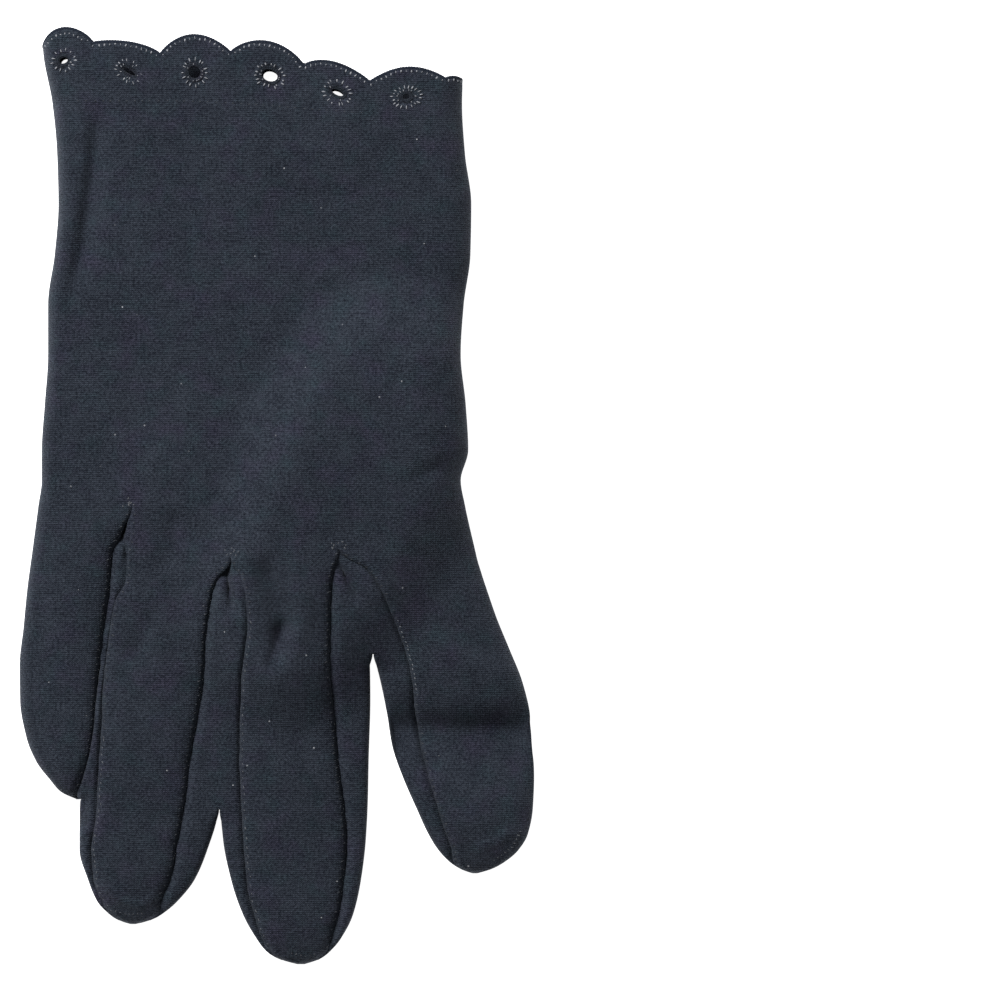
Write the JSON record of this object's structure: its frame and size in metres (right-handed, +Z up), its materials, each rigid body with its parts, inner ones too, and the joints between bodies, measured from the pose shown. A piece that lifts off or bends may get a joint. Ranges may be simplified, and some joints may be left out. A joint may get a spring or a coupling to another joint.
{
  "type": "wrist length dress glove",
  "caption": "Wrist length dress glove of black knitted cloth, hollow, with a scalloped and eyeleted cuff, lying flat with its back up.",
  "frame": {"origin": "on the surface that the glove lies on, under the middle of its outline", "axes": "+Y towards the cuff and wrist, -Y towards the fingertips, +X towards the index finger's side, +Z up out of the back of the glove"},
  "size_m": [0.113, 0.2056, 0.0142],
  "materials": {
    "cloth": "matt, fine warp knit, blue-black",
    "thread": "sewing thread, slightly brighter than the cloth"
  },
  "bodies": {
    "root": {"trank_back": "cloth", "trank_palm": "cloth", "thumb": "cloth", "fourchette_little_ring": "cloth", "fourchette_ring_middle": "cloth", "fourchette_middle_index": "cloth", "cuff_facing": "cloth", "eyelet_back_1": "thread", "eyelet_back_2": "thread", "eyelet_back_3": "thread", "eyelet_back_4": "thread", "eyelet_back_5": "thread", "eyelet_back_6": "thread", "eyelet_palm_1": "thread", "eyelet_palm_2": "thread", "eyelet_palm_3": "thread", "eyelet_palm_4": "thread", "eyelet_palm_5": "thread", "eyelet_palm_6": "thread"}
  },
  "joints": []
}
